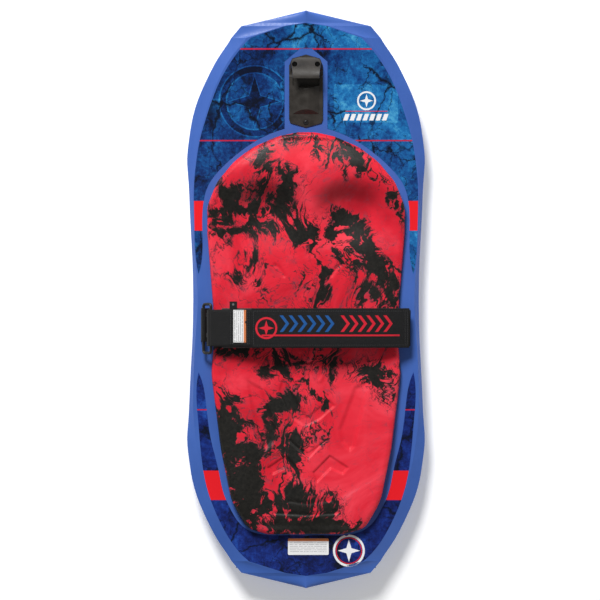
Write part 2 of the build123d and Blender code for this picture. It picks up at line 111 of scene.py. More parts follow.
# ---------------------------------------------------------------- material helper
class Shader:
    """Small builder for one node material."""

    def __init__(self, name, colour=(0.8, 0.8, 0.8), roughness=0.5, metallic=0.0, **extra):
        self.material = bpy.data.materials.new(name)
        self.material.use_nodes = True
        self.tree = self.material.node_tree
        self.surface = self.tree.nodes["Principled BSDF"]
        self.set("Base Color", (*colour, 1))
        self.set("Roughness", roughness)
        self.set("Metallic", metallic)
        for key, value in extra.items():
            self.set(key.replace("_", " "), value)

    def set(self, socket, value):
        """Link or set an input of the surface shader."""
        if isinstance(value, bpy.types.NodeSocket):
            self.tree.links.new(value, self.surface.inputs[socket])
        else:
            self.surface.inputs[socket].default_value = value

    def node(self, kind, inputs=None, output=0, **props):
        """Add a node, link or set its inputs, and give one of its outputs."""
        node = self.tree.nodes.new(kind)
        for key, value in props.items():
            setattr(node, key, value)
        for key, value in (inputs or {}).items():
            if isinstance(value, bpy.types.NodeSocket):
                self.tree.links.new(value, node.inputs[key])
            else:
                node.inputs[key].default_value = value
        return node.outputs[output]

    def math(self, operation, a, b=0.0, c=0.0):
        return self.node("ShaderNodeMath", {0: a, 1: b, 2: c}, operation=operation)

    def place(self):
        """Position on the resting piece, in metres."""
        return self.node("ShaderNodeTexCoord", output="Object")

    def uv(self):
        """Position along and across a strip, in metres."""
        return self.node("ShaderNodeTexCoord", output="UV")

    def split(self, vector):
        node = self.tree.nodes.new("ShaderNodeSeparateXYZ")
        self.tree.links.new(vector, node.inputs[0])
        return node.outputs[0], node.outputs[1], node.outputs[2]

    def scaled(self, vector, scale, turn=0.0):
        inputs = {"Vector": vector, "Scale": scale, "Rotation": (0, 0, turn)}
        return self.node("ShaderNodeMapping", inputs)

    def noise(self, vector, scale, detail=4.0, roughness=0.5, distortion=0.0, output=0):
        inputs = {
            "Vector": vector,
            "Scale": scale,
            "Detail": detail,
            "Roughness": roughness,
            "Distortion": distortion,
        }
        return self.node("ShaderNodeTexNoise", inputs, output)

    def warped(self, vector, amount, *settings):
        """A position pushed about by coloured noise."""
        push = {0: self.noise(vector, *settings, output=1), 3: amount}
        push = self.node("ShaderNodeVectorMath", push, operation="SCALE")
        return self.node("ShaderNodeVectorMath", {0: vector, 1: push}, operation="ADD")

    def cracks(self, vector, scale):
        inputs = {"Vector": vector, "Scale": scale}
        return self.node("ShaderNodeTexVoronoi", inputs, feature="DISTANCE_TO_EDGE")

    def ramp(self, value, *stops):
        """Colour ramp from (position, colour) stops."""
        node = self.tree.nodes.new("ShaderNodeValToRGB")
        self.tree.links.new(value, node.inputs[0])
        elements = node.color_ramp.elements
        while len(elements) < len(stops):
            elements.new(0.5)
        for element, (position, colour) in zip(elements, stops):
            element.position = position
            element.color = (*colour, 1)
        return node.outputs[0]

    def fade(self, value, low, high, to_low=0.0, to_high=1.0):
        """Smooth step of a value between two limits."""
        inputs = {0: value, 1: low, 2: high, 3: to_low, 4: to_high}
        return self.node("ShaderNodeMapRange", inputs, interpolation_type="SMOOTHSTEP")

    def mix(self, amount, a, b):
        """Mix two colours."""
        inputs = {0: amount, 6: self.rgba(a), 7: self.rgba(b)}
        return self.node("ShaderNodeMix", inputs, 2, data_type="RGBA")

    @staticmethod
    def rgba(colour):
        """A colour with its alpha, or a socket as it is."""
        return colour if isinstance(colour, bpy.types.NodeSocket) else (*colour, 1)

    def within(self, value, low, high, soft=0.0004):
        """1 between two limits of a coordinate, 0 outside."""
        rise = self.fade(value, low - soft, low + soft)
        return self.math("MULTIPLY", rise, self.fade(value, high - soft, high + soft, 1.0, 0.0))

    def bump(self, height, distance, strength=1.0):
        inputs = {"Height": height, "Distance": distance, "Strength": strength}
        self.set("Normal", self.node("ShaderNodeBump", inputs))

    def pebble(self, scale, distance, strength=0.6):
        """Fine moulded texture."""
        self.bump(self.noise(self.place(), scale, 3.0, 0.6), distance, strength)


def assign(material, *names):
    """Give CAD nodes this material."""
    for name in names:
        node = NODES[name]
        if not node.data.materials:
            node.data.materials.append(material)
        for slot in node.material_slots:
            slot.link = "OBJECT"
            slot.material = material


def soften(width, *names, segments=3, angle=30):
    """Rounded edges on CAD nodes."""
    for name in names:
        bevel = NODES[name].modifiers.new("Bevel", "BEVEL")
        bevel.width, bevel.segments = width, segments
        bevel.limit_method, bevel.angle_limit = "ANGLE", math.radians(angle)


# ---------------------------------------------------------------- materials
RED = (0.66, 0.012, 0.030)
BAND_RED = (0.80, 0.010, 0.018)
LINE_RED = (0.50, 0.012, 0.045)
PRINT_BLUE = (0.010, 0.095, 0.33)
BLACK = (0.0075, 0.0075, 0.008)
CRACK_BLACK = (0.001, 0.003, 0.012)
BAR_GREY = (0.12, 0.12, 0.13)
ORANGE = (0.72, 0.21, 0.06)
WHITE = (0.82, 0.82, 0.82)

# Blues of the printed rock, dark to light, each with its place on the scale of lightness.
FRONT_ROCK = (
    (0.38, (0.001, 0.004, 0.020)),
    (0.50, (0.003, 0.028, 0.145)),
    (0.59, (0.006, 0.080, 0.27)),
    (0.69, (0.012, 0.170, 0.44)),
    (0.84, (0.09, 0.42, 0.66)),
)
REAR_ROCK = (
    (0.40, (0.001, 0.002, 0.012)),
    (0.52, (0.004, 0.012, 0.105)),
    (0.62, (0.008, 0.030, 0.22)),
    (0.72, (0.016, 0.075, 0.38)),
    (0.84, (0.06, 0.30, 0.60)),
)

# Where the red bands and the thin red lines cross the films (low Y, high Y).
FRONT_BAND = (0.1646, 0.2354)
REAR_BAND = (-0.477, -0.407)
FRONT_LINES = [(0.594, 0.5975), (0.3775, 0.3805)]
REAR_LINES = [(-0.2635, -0.2605)]

# The paler panel behind the small mark (X, then Y).
PANEL_X = (0.066, 0.219)
PANEL_Y = (0.422, 0.512)

# Print of the strap's cover: chevrons and the rule under them, along and across the strap.
CHEVRON_ACROSS = (-0.0760, -0.0370)
BLUE_CHEVRONS = (-0.050, 0.078)
RED_CHEVRONS = (0.094, 0.216)
CHEVRON_COUNT = 6
CHEVRON_SLANT = 0.75
RULE_ACROSS = (-0.0862, -0.0822)
RULE_ALONG = (-0.105, 0.222)


def shell_material():
    """Glossy moulded polyethylene with faint flow marks and fine scuffs."""
    s = Shader("shell_blue", roughness=0.42, Specular_IOR_Level=0.3)
    place = s.place()
    cloud = s.noise(place, 9.0, 3.0, 0.5)
    s.set("Base Color", s.ramp(cloud, (0.3, (0.044, 0.112, 0.40)), (0.7, (0.054, 0.134, 0.46))))
    streaks = s.noise(s.scaled(place, (60, 6, 60)), 3.0, 4.0, 0.6)
    s.set("Roughness", s.fade(streaks, 0.3, 0.75, 0.36, 0.50))
    grain = s.noise(place, 700.0, 2.0, 0.5)
    s.bump(s.math("ADD", grain, s.math("MULTIPLY", cloud, 0.7)), 0.00025, 0.35)
    return s.material


def rock_material(name, rear=False, shade=0.0):
    """Printed film: cracked rock in blues, with a red band and thin red lines across it."""
    s = Shader(name, roughness=0.40, Specular_IOR_Level=0.26)
    place = s.place()
    x, y, _ = s.split(place)
    flat = s.scaled(place, (1.0, 1.0, 0.0))
    warped = s.warped(flat, 0.11, 9.0, 6.0, 0.65)
    big = s.cracks(s.scaled(warped, (1.15, 0.8, 0.0)), 9.0)
    small = s.cracks(s.scaled(warped, (1.3, 0.9, 0.0), 0.7), 26.0)
    grit = s.noise(flat, 95.0, 9.0, 0.80)
    slabs = s.noise(s.scaled(warped, (1.2, 0.8, 0.0)), 15.0, 9.0, 0.66, 0.4)
    light = s.math("ADD", s.math("MULTIPLY", slabs, 0.70), s.math("MULTIPLY", grit, 0.55))
    light = s.math("SUBTRACT", light, 0.055 + shade)
    if rear:
        terms = [s.fade(x, -0.28, 0.1, 0.015, -0.045)]
    else:
        panel = s.math("MULTIPLY", s.within(x, *PANEL_X), s.within(y, *PANEL_Y))
        from_hook = {0: s.scaled(flat, (1.0, 0.45, 0.0)), 1: (0.0, 0.27, 0.0)}
        glow = s.node("ShaderNodeVectorMath", from_hook, output=1, operation="DISTANCE")
        shadow = s.fade(y, 0.50, 0.59, 0.0, -0.07)
        shadow = s.math("MULTIPLY", shadow, s.fade(y, 0.592, 0.598, 1.0, 0.0))
        terms = [
            s.fade(x, -0.12, 0.20, -0.045, 0.045),
            s.fade(y, 0.585, 0.605, 0.0, 0.055),
            s.fade(glow, 0.0, 0.16, 0.03, 0.0),
            shadow,
            s.math("MULTIPLY", panel, 0.085),
        ]
    for term in terms:
        light = s.math("ADD", light, term)
    colour = s.ramp(light, *(REAR_ROCK if rear else FRONT_ROCK))
    spread = s.fade(s.noise(flat, 6.0, 3.0, 0.6), 0.42, 0.68, 0.004, 0.075)
    hair = s.fade(s.noise(flat, 13.0, 3.0, 0.6), 0.44, 0.66, 0.004, 0.09)
    solid = s.math("MULTIPLY", s.fade(big, 0.0, spread), s.fade(small, 0.0, hair, 0.25, 1.0))
    colour = s.mix(solid, CRACK_BLACK, colour)
    colour = s.mix(s.within(y, *(REAR_BAND if rear else FRONT_BAND)), colour, BAND_RED)
    for low, high in REAR_LINES if rear else FRONT_LINES:
        colour = s.mix(s.within(y, low, high), colour, LINE_RED)
    s.set("Base Color", colour)
    relief = s.math("ADD", grit, s.math("MULTIPLY", solid, 0.6))
    s.bump(relief, 0.00006, 0.4)
    return s.material


def pad_material():
    """Moulded foam: red with poured black marbling, thin veins and soft grey veils."""
    s = Shader("marbled_foam", roughness=0.50, Specular_IOR_Level=0.22)
    place = s.place()
    body = s.scaled(place, (1.0, 1.0, 0.8))
    density = s.node("ShaderNodeAttribute", output="Fac", attribute_name="marble")
    warped = s.warped(body, 0.16, 7.0, 4.0, 0.55, 0.6)
    flow = s.noise(s.scaled(warped, (1.35, 0.75, 1.0), 0.25), 8.5, 6.0, 0.60, 0.9)
    thread = s.noise(s.scaled(warped, (1.2, 0.8, 1.0), -0.3), 19.0, 6.0, 0.62, 1.2)
    ragged = s.noise(body, 120.0, 5.0, 0.7, 0.5)
    fray = s.math("MULTIPLY", s.math("SUBTRACT", ragged, 0.5), 0.05)
    near_flow = s.math("ABSOLUTE", s.math("SUBTRACT", flow, 0.5))
    near_thread = s.math("ABSOLUTE", s.math("SUBTRACT", thread, 0.5))
    mass = s.math("ADD", s.math("MULTIPLY", density, 0.54), fray)
    mass = s.math("SUBTRACT", mass, near_flow)
    veins = s.math("ADD", s.math("MULTIPLY", density, 0.30), s.math("MULTIPLY", fray, 0.7))
    veins = s.math("SUBTRACT", s.math("SUBTRACT", veins, near_thread), 0.011)
    amount = s.math("MAXIMUM", mass, veins)
    bloom = s.noise(body, 6.0, 5.0, 0.6, 0.8)
    red = s.ramp(
        bloom,
        (0.30, (0.52, 0.006, 0.020)),
        (0.50, (0.74, 0.016, 0.036)),
        (0.66, (0.86, 0.046, 0.075)),
        (0.82, (0.88, 0.17, 0.22)),
    )
    # Painted shade: the red is darkened on the front walls of the knee wells, as if they lay in
    # shadow.
    painted_well_shade = s.node("ShaderNodeAttribute", output="Fac", attribute_name="painted_well_shade")
    red = s.mix(s.math("MULTIPLY", painted_well_shade, 0.62), red, (0.20, 0.003, 0.010))
    edge = s.mix(s.fade(amount, -0.022, 0.0), red, (0.20, 0.022, 0.035))
    haze = s.fade(s.noise(warped, 24.0, 7.0, 0.75, 0.8), 0.48, 0.72, 0.0, 0.55)
    haze = s.math("MULTIPLY", haze, s.fade(amount, -0.11, -0.01))
    edge = s.mix(haze, edge, (0.115, 0.055, 0.085))
    ink = s.ramp(ragged, (0.35, (0.006, 0.006, 0.005)), (0.75, (0.020, 0.018, 0.015)))
    colour = s.mix(s.fade(amount, -0.004, 0.008), edge, ink)
    s.set("Base Color", colour)
    cells = s.node("ShaderNodeTexVoronoi", {"Vector": place, "Scale": 620.0})
    skin = s.noise(place, 260.0, 3.0, 0.6)
    height = s.math("ADD", s.math("MULTIPLY", cells, 0.5), skin)
    s.bump(height, 0.0004, 0.4)
    s.set("Roughness", s.fade(skin, 0.3, 0.7, 0.40, 0.56))
    return s.material


def webbing_material(name, by_uv=False):
    """Black woven nylon webbing: rounded ribs with a plain weave across them."""
    s = Shader(name, BLACK, 0.72, Specular_IOR_Level=0.25, Sheen_Weight=0.06, Sheen_Roughness=0.5)
    pitch = 0.0011
    across, along, _ = s.split(s.uv() if by_uv else s.place())
    warp = s.math("SINE", s.math("MULTIPLY", along, 2 * math.pi / pitch))
    weft = s.math("SINE", s.math("MULTIPLY", across, 2 * math.pi / (pitch * 1.4)))
    weave = s.math("MULTIPLY", warp, weft)
    ribs = s.math("ABSOLUTE", s.math("SINE", s.math("MULTIPLY", along, math.pi / (pitch * 3))))
    height = s.math("ADD", weave, s.math("MULTIPLY", ribs, 1.2))
    wear = s.noise(s.place(), 45.0, 4.0, 0.6)
    light = tuple(c * 2.6 + 0.004 for c in BLACK)
    worn = s.ramp(wear, (0.3, BLACK), (0.8, light))
    s.set("Base Color", s.mix(s.fade(weave, 0.1, 1.0, 0.0, 0.6), BLACK, worn))
    s.bump(height, 0.00035, 0.7)
    return s.material


def cover_material():
    """Black woven cover with a row of blue and red chevrons over a red rule."""
    s = Shader("printed_cover", BLACK, 0.7)
    s.set("Specular IOR Level", 0.2)
    s.set("Sheen Weight", 0.03)
    s.set("Sheen Roughness", 0.5)
    along, across, _ = s.split(s.uv())
    fold = s.math("ABSOLUTE", s.math("SUBTRACT", across, sum(CHEVRON_ACROSS) / 2))
    arrow = s.math("ADD", along, s.math("MULTIPLY", fold, CHEVRON_SLANT))
    inside = s.within(across, *CHEVRON_ACROSS)
    colour = BLACK
    for (low, high), ink in ((BLUE_CHEVRONS, PRINT_BLUE), (RED_CHEVRONS, RED)):
        step = s.math("DIVIDE", s.math("SUBTRACT", arrow, low), (high - low) / CHEVRON_COUNT)
        stripe = s.within(s.math("FRACT", step), 0.10, 0.48, 0.015)
        stripe = s.math("MULTIPLY", stripe, inside)
        stripe = s.math("MULTIPLY", stripe, s.within(arrow, low, high))
        colour = s.mix(stripe, colour, ink)
    rule = s.math("MULTIPLY", s.within(across, *RULE_ACROSS), s.within(along, *RULE_ALONG))
    colour = s.mix(rule, colour, RED)
    pitch = 0.0008
    warp = s.math("SINE", s.math("MULTIPLY", along, 2 * math.pi / pitch))
    weft = s.math("SINE", s.math("MULTIPLY", across, 2 * math.pi / pitch))
    weave = s.math("MULTIPLY", warp, weft)
    fuzz = s.noise(s.place(), 300.0, 4.0, 0.6)
    colour = s.mix(s.fade(fuzz, 0.45, 0.8, 0.0, 0.10), colour, (0.10, 0.10, 0.11))
    s.set("Base Color", colour)
    s.bump(s.math("ADD", weave, fuzz), 0.00022, 0.6)
    return s.material


def tape_material(name, hooks):
    """One side of the hook-and-loop tape."""
    s = Shader(name, (0.013, 0.013, 0.014), 0.85, Sheen_Weight=0.5, Sheen_Roughness=0.4)
    place = s.place()
    if hooks:
        dots = s.node("ShaderNodeTexVoronoi", {"Vector": place, "Scale": 620.0})
        s.bump(s.fade(dots, 0.1, 0.5, 1.0, 0.0), 0.0009, 0.9)
    else:
        fibres = s.noise(place, 520.0, 8.0, 0.8, 2.0)
        dark, light = (0.006, 0.006, 0.007), (0.035, 0.035, 0.037)
        s.set("Base Color", s.ramp(fibres, (0.3, dark), (0.75, light)))
        s.bump(fibres, 0.0009, 0.9)
    return s.material


def plastic_material():
    """Dark grey moulded plastic with an etched grain and random smears of tone."""
    s = Shader("hook_plastic", (0.026, 0.023, 0.020), 0.52, Specular_IOR_Level=0.35)
    place = s.place()
    smear = s.noise(place, 40.0, 5.0, 0.6)
    s.set("Base Color", s.ramp(smear, (0.3, (0.021, 0.018, 0.015)), (0.75, (0.038, 0.033, 0.028))))
    s.set("Roughness", s.fade(smear, 0.3, 0.7, 0.40, 0.58))
    s.bump(s.noise(place, 900.0, 2.0, 0.6), 0.0002, 0.6)
    return s.material


def metal_material(name, colour, roughness):
    """Brushed metal."""
    s = Shader(name, colour, roughness, 1.0)
    brushed = s.noise(s.scaled(s.place(), (1, 14, 1)), 160.0, 4.0, 0.6)
    s.set("Roughness", s.fade(brushed, 0.2, 0.8, roughness - 0.08, roughness + 0.12))
    s.bump(brushed, 0.00005, 0.5)
    return s.material


def neoprene_material():
    """Black foam rubber with a knitted face."""
    s = Shader("neoprene", (0.014, 0.014, 0.015), 0.8, Sheen_Weight=0.35, Sheen_Roughness=0.45)
    knit = s.node("ShaderNodeTexVoronoi", {"Vector": s.place(), "Scale": 900.0})
    cloud = s.noise(s.place(), 60.0, 4.0, 0.6)
    s.set("Base Color", s.ramp(cloud, (0.3, (0.010, 0.010, 0.011)), (0.8, (0.024, 0.024, 0.026))))
    s.bump(knit, 0.0004, 0.6)
    return s.material


def label_material(name, band, rows, height, bars_along, turned=False):
    """White label with an orange band and rows of plain grey bars."""
    s = Shader(name, WHITE, 0.6)
    x, y, _ = s.split(s.place())
    across, along = (x, y) if turned else (y, x)
    colour = s.mix(s.within(across, *band), WHITE, ORANGE)
    length = s.noise(s.scaled(s.place(), (1.0, 1.0, 0.0)), 240.0, 1.0)
    for low in rows:
        bar = s.within(across, low, low + height, 0.0002)
        bar = s.math("MULTIPLY", bar, s.within(along, *bars_along))
        bar = s.math("MULTIPLY", bar, s.fade(length, 0.38, 0.44, 0.0, 0.55))
        colour = s.mix(bar, colour, BAR_GREY)
    s.set("Base Color", colour)
    s.pebble(1400.0, 0.0001)
    return s.material


def ink_material(name, colour, roughness=0.4):
    """Printed ink or thread of one colour, with faint blotches."""
    s = Shader(name, colour, roughness)
    blotch = s.fade(s.noise(s.place(), 120.0, 4.0), 0.35, 0.7, 0.0, 0.25)
    s.set("Base Color", s.mix(blotch, colour, tuple(c * 0.8 for c in colour)))
    s.pebble(800.0, 0.00006)
    return s.material


SHELL = shell_material()
PAD = pad_material()
WEBBING = webbing_material("webbing")
RIBBON = webbing_material("strap_webbing", by_uv=True)
THREAD = ink_material("thread", (0.055, 0.055, 0.058), 0.7)
NEOPRENE = neoprene_material()
STEEL = metal_material("stainless", (0.46, 0.46, 0.48), 0.3)
DARK_STEEL = metal_material("blackened_steel", (0.09, 0.09, 0.095), 0.35)
BRASS = metal_material("brass", (0.72, 0.52, 0.22), 0.35)

assign(SHELL, "hull_shell", "deck_shell")
assign(rock_material("rock_print_front"), "front_graphic")
assign(rock_material("rock_print_rear", rear=True), "rear_graphic")
assign(plastic_material(), "tow_hook_body")
assign(DARK_STEEL, "left_anchor_plate", "right_anchor_plate", "tow_hook_screws")
assign(STEEL, "left_anchor_screws", "right_anchor_screws")
assign(BRASS, "tow_hook_inserts", "strap_inserts")
assign(WEBBING, "anchor_webbing", "base_strap_webbing", "pull_tab")
assign(tape_material("loop_side", False), "loop_tape")
assign(tape_material("hook_side", True), "hook_tape")
assign(metal_material("rivet_metal", (0.85, 0.85, 0.86), 0.18), "pull_tab_rivet")
foam = Shader("core_foam", (0.72, 0.62, 0.38), 0.9)
foam.pebble(300.0, 0.0006)
assign(foam.material, "foam_core")
coat = Shader("ring_coating", (0.008, 0.008, 0.008), 0.4)
coat.pebble(500.0, 0.00015)
assign(coat.material, "strap_ring")
care_bars = [-0.5790 - i * 0.0042 for i in range(6)]
care_print = label_material("care_print", (-0.5745, -0.5680), care_bars, 0.0015, (-0.039, 0.049))
assign(care_print, "care_label")
strap_bars = [-0.1690 + i * 0.0044 for i in range(5)]
strap_print = label_material(
    "strap_label_print", (-0.1475, -0.1415), strap_bars, 0.0018, (-0.098, -0.028), turned=True
)
assign(strap_print, "flap_label")
soften(0.003, "hull_shell", angle=24)
soften(0.0012, "tow_hook_body")
soften(0.0006, "left_anchor_plate", "right_anchor_plate", segments=2)


# ---------------------------------------------------------------- knee pad
PAD_ROWS, PAD_COLUMNS = 440, 216
KNEE_X = 0.100
WELL_Y = 0.250  # the middle of the wells' front walls
WELL_DEPTH = 0.0255
WELL_HALF = 0.088  # half the width of a well
EDGE_BAND, EDGE_DROP = 0.013, 0.011  # the rolled rim
BLEND_BAND = 0.03  # the relief fades in over this distance from the rim
RELIEF_MIDDLE = 8  # twice the X of the line that mirrored shapes share, in millimetres
PAD_INSET = 0.0002


def pad_relief():
    """Moulded shapes of the pad: lines and sunk areas, each as (points, width, height)."""
    lines, areas = [], []

    def add(target, points, width, height, mirrored=False):
        """Add one shape, given in millimetres, and its mirror image if mirrored is set."""
        target.append(([(x * MM, y * MM) for x, y in points], width * MM, height * MM))
        if mirrored:
            add(target, [(RELIEF_MIDDLE - x, y) for x, y in points], width, height)

    add(lines, [(-12, -128), (-9, -143), (4, -152), (17, -143), (20, -128)], 3.5, -3.0)
    add(lines, [(-44, -164), (-24, -194)], 4, 1.8, True)
    add(lines, [(-74, -506), (4, -510), (76, -506)], 4, -2.6)
    add(lines, [(-40, -478), (4, -484), (60, -476)], 4, -1.4)
    add(lines, [(-74, 83), (-64, 76), (-52, 57)], 4, -2.2, True)
    upper_arrow = [(-56, -183), (-27, -228), (2, -276), (55, -235), (72, -252)]
    upper_arrow += [(35, -285), (-1, -303), (-34, -283), (-66, -216)]
    add(areas, upper_arrow, 4.5, -3.2)
    lower_arrow = [(-46, -322), (-20, -346), (5, -361), (30, -343), (58, -322)]
    lower_arrow += [(45, -338), (5.5, -381), (-43, -336)]
    add(areas, lower_arrow, 3.5, -2.6)
    wing = [(14, -409), (56, -367), (103, -398), (88, -417), (59, -403), (25, -437)]
    add(areas, wing, 4.5, -4.2, True)
    panel = [(112, -205), (74, -307), (80, -340), (104, -365)]
    panel += [(118, -352), (142, -254), (154, -183)]
    add(areas, panel, 12, -4.5, True)
    return lines, areas


def near_to(x, y, points, margin):
    """Whether a place lies in the box round some points."""
    xs, ys = [p[0] for p in points], [p[1] for p in points]
    return min(xs) - margin < x < max(xs) + margin and min(ys) - margin < y < max(ys) + margin


def inside_of(x, y, points):
    """Whether a place lies inside a closed outline."""
    inside = False
    for (ax, ay), (bx, by) in zip(points, points[1:] + points[:1]):
        if (ay > y) != (by > y) and x < ax + (bx - ax) * (y - ay) / (by - ay):
            inside = not inside
    return inside


def line_distance(x, y, points):
    """Distance from a place to a polyline."""
    best = 1.0
    for (ax, ay), (bx, by) in zip(points, points[1:]):
        dx, dy = bx - ax, by - ay
        t = ((x - ax) * dx + (y - ay) * dy) / (dx * dx + dy * dy)
        t = min(1.0, max(0.0, t))
        best = min(best, math.hypot(x - ax - t * dx, y - ay - t * dy))
    return best


def well_depth(x, y):
    """Depth of the knee wells and of the shin channels that run back from them."""
    side = abs(x)
    aft = ease((0.20 - y) / 0.55)
    centre = KNEE_X - 0.024 * aft
    half = WELL_HALF - 0.020 * aft
    u = (side - centre) / half
    if abs(u) >= 1:
        return 0.0
    wall = 0.296 - 0.040 * u * u
    front = ease((wall - y) / 0.062)
    fade = 1 - 0.74 * ease((0.222 - y) / 0.13)
    rear = 1 - 0.6 * ease((-0.44 - y) / 0.10)
    return WELL_DEPTH * front * fade * rear * (1 - u * u) ** 1.25


def well_shade(x, y):
    """Painted shade: how much the foam's red is darkened on the front wall of each knee well."""
    u, v = (abs(x) - KNEE_X) / 0.068, (y - WELL_Y) / 0.026
    return math.exp(-0.5 * (abs(u) ** 3 + v * v))


# Where the black of the marbling gathers, and where the pad stays red: middle, radii
# and turn of each patch, in millimetres and degrees, with its weight.
MARBLE = [
    # nose end
    (24, 362, 14, 34, 20, 0.60),
    (-28, 376, 26, 14, 0, 0.40),
    (70, 360, 28, 22, -30, 0.34),
    (132, 318, 62, 13, -43, 0.62),
    (196, 255, 50, 15, -60, 0.50),
    (92, 300, 8, 26, 12, 0.36),
    (134, 284, 30, 8, -40, 0.26),
    (-100, 335, 16, 46, -10, 0.34),
    (-50, 300, 44, 22, -20, 0.34),
    (-168, 256, 34, 22, 30, 0.44),
    (-55, 252, 13, 36, -8, 0.66),
    (-98, 240, 16, 44, 0, 0.50),
    (-105, 214, 56, 17, -6, 0.66),
    (-200, 190, 26, 34, 20, 0.34),
    (-196, 160, 40, 8, 10, 0.50),
    (-90, 176, 74, 22, -8, 0.36),
    # across the middle
    (4, 152, 46, 34, -20, 0.42),
    (98, 190, 38, 17, -38, 0.66),
    (60, 150, 24, 38, 8, 0.44),
    (112, 106, 40, 34, -38, 0.50),
    (150, 108, 10, 30, 0, 0.60),
    (196, 56, 48, 17, -42, 0.66),
    (156, 14, 20, 26, 0, 0.62),
    (208, 0, 28, 9, -50, 0.46),
    (8, 24, 14, 40, 10, 0.40),
    (44, 44, 16, 50, 6, 0.30),
    (-124, 96, 22, 20, -40, 0.32),
    (-168, 54, 14, 14, 0, 0.34),
    (-110, 30, 10, 26, 20, 0.22),
    # behind the strap
    (-120, -128, 70, 14, -8, 0.44),
    (-98, -166, 22, 12, 0, 0.46),
    (-58, -156, 12, 28, 25, 0.44),
    (26, -134, 18, 26, 10, 0.46),
    (66, -168, 9, 40, 0, 0.40),
    (32, -232, 44, 10, -48, 0.60),
    (166, -180, 54, 24, -8, 0.72),
    (180, -226, 30, 26, 0, 0.40),
    (-168, -240, 42, 10, 6, 0.44),
    # tail end
    (-176, -340, 34, 72, 10, 0.60),
    (-140, -400, 34, 60, 14, 0.56),
    (-50, -248, 42, 16, 16, 0.60),
    (-68, -318, 22, 46, 0, 0.56),
    (14, -322, 40, 20, 20, 0.56),
    (-22, -380, 20, 44, 0, 0.40),
    (-140, -474, 46, 46, 0, 0.66),
    (-26, -492, 42, 46, 0, 0.60),
    (64, -490, 28, 42, 6, 0.46),
    (0, -537, 112, 15, 0, 0.72),
]
CLEAR = [
    (152, -400, 66, 130, 0, 0.30),
    (92, 258, 60, 42, 0, 0.26),
    (-30, 334, 40, 20, -10, 0.20),
    (196, 170, 24, 34, 0, 0.20),
    (-130, 70, 90, 80, 0, 0.06),
    (-148, 288, 26, 22, 0, 0.22),
    (-150, -192, 60, 26, 0, 0.14),
    (96, -262, 40, 60, 0, 0.22),
    (44, -432, 30, 40, 0, 0.20),
    (100, 40, 30, 40, 0, 0.04),
]


def patch(x, y, cx, cy, rx, ry, turn, weight):
    """Weight of one soft oval patch at a place."""
    dx, dy = x / MM - cx, y / MM - cy
    c, s = math.cos(math.radians(turn)), math.sin(math.radians(turn))
    u, v = (dx * c + dy * s) / rx, (dy * c - dx * s) / ry
    return weight * math.exp(-0.5 * (u * u + v * v))


def marble_density(x, y):
    """How much black the marbling holds at a place."""
    black = max(patch(x, y, *spot) for spot in MARBLE)
    clear = sum(patch(x, y, *spot) for spot in CLEAR)
    return 0.002 + 0.31 * black - 0.3 * clear


def pad_rows(low, high):
    """Measures of the CAD pad at each row: place, half width, underside and crest."""
    cad = tree_of("knee_pad")
    rows, outline, floors, crests = [], [], [], []
    for i in range(PAD_ROWS + 1):
        y = low.y + (high.y - low.y) * (i / PAD_ROWS)
        y = min(high.y - PAD_INSET, max(low.y + PAD_INSET, y))
        floor = cad.ray_cast(Vector((0, y, -1)), Vector((0, 0, 1)))[0].z
        side = cad.ray_cast(Vector((1, y, floor + 0.004)), Vector((-1, 0, 0)))[0].x
        rows.append(y)
        outline.append(side - 0.0003)
        floors.append(floor)
        crests.append(top_of(cad, 0, y) or floor + 0.02)
    nearby = [crests[max(0, i - 6): i + 7] for i in range(len(crests))]
    crests = [sum(group) / len(group) for group in nearby]
    first = next(i for i, y in enumerate(rows) if y > low.y + 0.02)
    last = next(i for i, y in enumerate(rows) if y > high.y - 0.02)
    crests = [crests[min(last, max(first, i))] for i in range(len(rows))]
    return rows, outline, floors, crests


def pad_lift(x, y, inner, lines, areas):
    """Relief of the pad at a place: wells, bolsters, spine, moulded lines and sunk areas."""
    lift = -well_depth(x, y) * inner
    bolster = ((abs(x) - 0.115) / 0.065) ** 2 + ((y - 0.318) / 0.034) ** 2
    lift += 0.0045 * inner * math.exp(-bolster)
    spine = math.exp(-((x / 0.022) ** 2)) * ease((0.36 - y) / 0.1) * ease((y - 0.12) / 0.1)
    lift -= 0.003 * inner * spine
    for points, width, height in lines:
        if near_to(x, y, points, 2.5 * width):
            lift += height * math.exp(-((line_distance(x, y, points) / width) ** 2))
    for points, width, height in areas:
        if near_to(x, y, points, 0.0) and inside_of(x, y, points):
            lift += height * ease(line_distance(x, y, points + points[:1]) / width)
    return lift + 0.0006 * noise.noise(Vector((x * 18, y * 18, 0))) * inner


